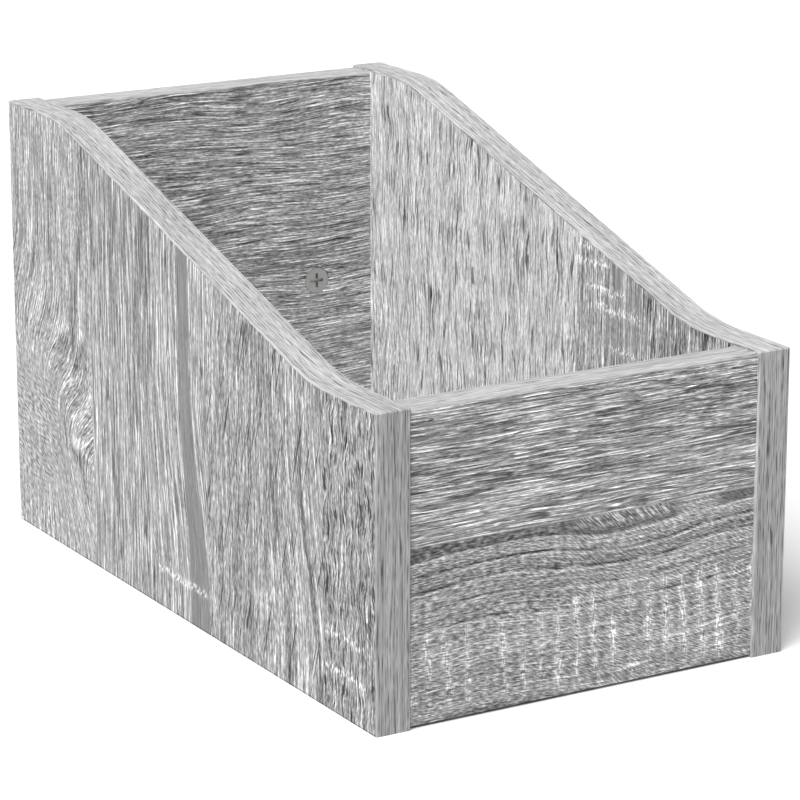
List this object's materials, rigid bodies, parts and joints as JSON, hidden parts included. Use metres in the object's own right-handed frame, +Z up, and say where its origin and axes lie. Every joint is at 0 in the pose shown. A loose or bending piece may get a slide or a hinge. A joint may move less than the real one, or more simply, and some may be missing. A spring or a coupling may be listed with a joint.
{
  "type": "record storage box",
  "caption": "Open-topped record storage box with S-curved side panels, a low front and a high back, joined by cam locks and dowels.",
  "frame": {"origin": "on the ground under the middle of the box", "axes": "-Y is the low front, +Y the high back, +X the right side seen from the front, +Z up"},
  "size_m": [0.225, 0.38, 0.228],
  "materials": {
    "decor_board": "grey oak decor paper on chipboard, matt with a light pore texture",
    "edge_band": "grey oak decor edge band, matt, with fine lines along its length",
    "cam_zinc": "die-cast zinc, tumbled and dull bright",
    "bolt_steel": "zinc-plated steel",
    "dowel_wood": "beech, turned"
  },
  "bodies": {
    "root": {"left_side_panel": "decor_board", "right_side_panel": "decor_board", "front_panel": "decor_board", "back_panel": "decor_board", "bottom_panel": "decor_board", "left_side_top_edge_band": "edge_band", "left_side_front_edge_band": "edge_band", "left_side_back_edge_band": "edge_band", "right_side_top_edge_band": "edge_band", "right_side_front_edge_band": "edge_band", "right_side_back_edge_band": "edge_band", "front_panel_top_edge_band": "edge_band", "back_panel_top_edge_band": "edge_band", "left_cam_discs": "cam_zinc", "right_cam_discs": "cam_zinc", "left_cam_bolts": "bolt_steel", "right_cam_bolts": "bolt_steel", "front_dowels": "dowel_wood", "back_dowels": "dowel_wood", "bottom_dowels": "dowel_wood"}
  },
  "joints": []
}
